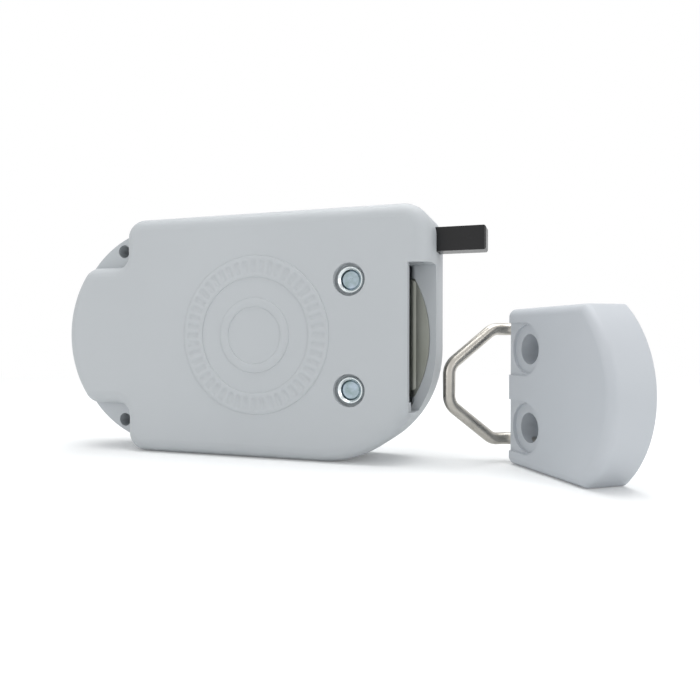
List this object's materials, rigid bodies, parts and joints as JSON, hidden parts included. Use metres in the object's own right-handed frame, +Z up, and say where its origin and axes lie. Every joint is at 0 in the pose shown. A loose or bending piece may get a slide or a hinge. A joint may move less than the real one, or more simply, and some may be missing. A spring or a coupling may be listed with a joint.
{
  "type": "electronic locker lock",
  "caption": "Flat electronic locker lock with a sliding bolt, a door pusher and a separate strike whose wire loop enters the slot.",
  "frame": {"origin": "on the floor under the middle of the case, halfway between its front and back faces", "axes": "X along the case towards the slot, Y from the front face to the wall face, Z up"},
  "size_m": [0.1783, 0.0426, 0.075],
  "materials": {
    "cover_grey": "fine matt moulded grey",
    "housing_grey": "fine matt moulded grey",
    "stainless_plate": "satin stainless sheet",
    "zinc_steel": "bright zinc plating",
    "screw_steel": "zinc-plated steel",
    "bolt_steel": "machined steel",
    "guide_plastic": "black nylon",
    "gear_brass": "machined brass",
    "motor_steel": "drawn steel can",
    "gearbox_black": "black moulded plastic",
    "pusher_black": "glossy black plastic",
    "magnet_nickel": "nickel-plated magnet",
    "spring_steel": "drawn spring wire",
    "board_green": "solder mask over glass laminate",
    "coil_copper": "enamelled copper winding",
    "chip_black": "moulded component cases",
    "reed_glass": "clear glass tube",
    "cell_jacket": "bare plastic sleeve",
    "tray_black": "black moulded plastic",
    "contact_nickel": "nickel-plated strip",
    "strike_metal": "powder-coated casting",
    "loop_stainless": "polished stainless wire"
  },
  "bodies": {
    "case": {"front_cover": "cover_grey", "rear_housing": "housing_grey", "wear_plate": "stainless_plate", "sleeve_nut_upper": "zinc_steel", "sleeve_nut_lower": "zinc_steel", "case_screw_upper": "screw_steel", "case_screw_lower": "screw_steel", "bolt_guide": "guide_plastic", "motor_can": "motor_steel", "motor_gearbox": "gearbox_black", "pusher_spring": "spring_steel", "circuit_board": "board_green", "antenna_coil": "coil_copper", "board_screws": "screw_steel", "board_parts": "chip_black", "reed_switch": "reed_glass", "cell_upper": "cell_jacket", "cell_lower": "cell_jacket", "battery_tray": "tray_black", "contact_bridge": "contact_nickel", "contact_upper": "contact_nickel", "contact_lower": "contact_nickel"},
    "bolt": {"lock_bolt": "bolt_steel"},
    "pinion": {"drive_pinion": "gear_brass", "drive_shaft": "screw_steel"},
    "pusher_bar": {"pusher": "pusher_black", "pusher_magnet": "magnet_nickel"},
    "strike": {"strike_block": "strike_metal", "wire_loop": "loop_stainless"}
  },
  "joints": [
    {"name": "bolt_slide", "type": "slide", "parent": "case", "child": "bolt", "axis": [0, -1, 0], "range_m": [0, 0.0056]},
    {"name": "pinion_turn", "type": "hinge", "parent": "case", "child": "pinion", "pos_m": [0.0387, 0.0015, 0.0375], "axis": [1, 0, 0], "range_deg": [0, 128.4]},
    {"name": "pusher_press", "type": "slide", "parent": "case", "child": "pusher_bar", "axis": [-1, 0, 0], "range_m": [0, 0.008], "stiffness_N_per_m": 220, "springref_m": -0.008, "deforming": ["pusher_spring"]},
    {"name": "strike_away", "type": "slide", "parent": "case", "child": "strike", "axis": [1, 0, 0], "range_m": [0, 0.06]}
  ],
  "couplings": [
    {"joint": "pinion_turn", "follows": "bolt_slide", "rad_per_m": 400}
  ]
}
